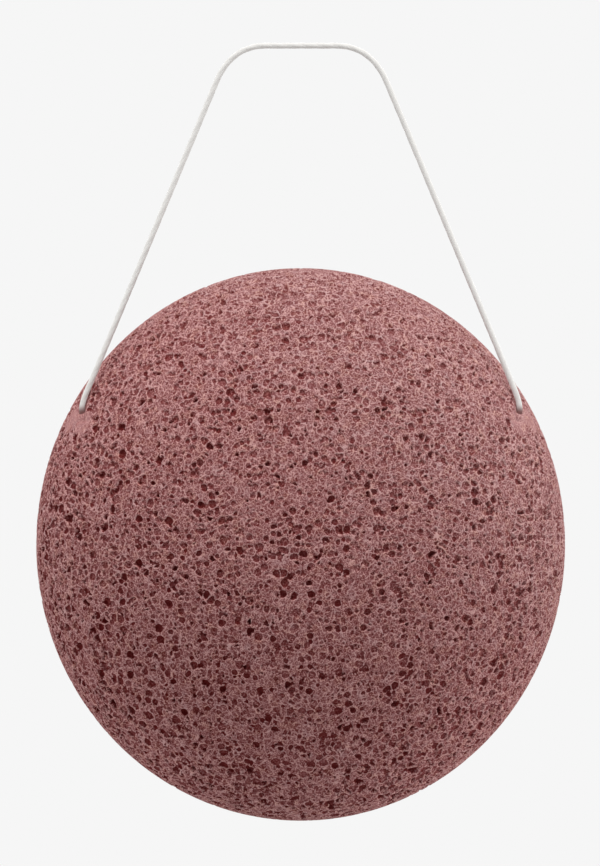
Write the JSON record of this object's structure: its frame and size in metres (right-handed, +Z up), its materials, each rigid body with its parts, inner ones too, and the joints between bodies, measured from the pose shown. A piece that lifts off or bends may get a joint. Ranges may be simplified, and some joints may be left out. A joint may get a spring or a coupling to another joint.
{
  "type": "konjac sponge",
  "caption": "Half-ball konjac face sponge with a porous dome and a flat back, hanging from a loop of thin cotton string threaded through it.",
  "frame": {"origin": "hang point: the underside of the loop's top run, where a hook bears", "axes": "+Z up along the hanging loop, +Y out of the sponge's flat back, so the dome faces -Y and the string's channel runs along X"},
  "size_m": [0.08, 0.036, 0.1174],
  "materials": {
    "konjac_foam": "matt, open-celled plant-fibre foam, dusty pink with darker pores",
    "cotton_string": "matt, smoothly twisted off-white cotton"
  },
  "bodies": {
    "string_loop": {"hanging_loop": "cotton_string", "channel_cord_left": "cotton_string", "channel_cord_right": "cotton_string", "loop_knot": "cotton_string"},
    "sponge": {"sponge_body": "konjac_foam"}
  },
  "joints": [
    {"name": "sponge_swing", "type": "hinge", "parent": "string_loop", "child": "sponge", "pos_m": [0, 0, -0.0558], "axis": [1, 0, 0], "range_deg": [-90, 12]}
  ]
}
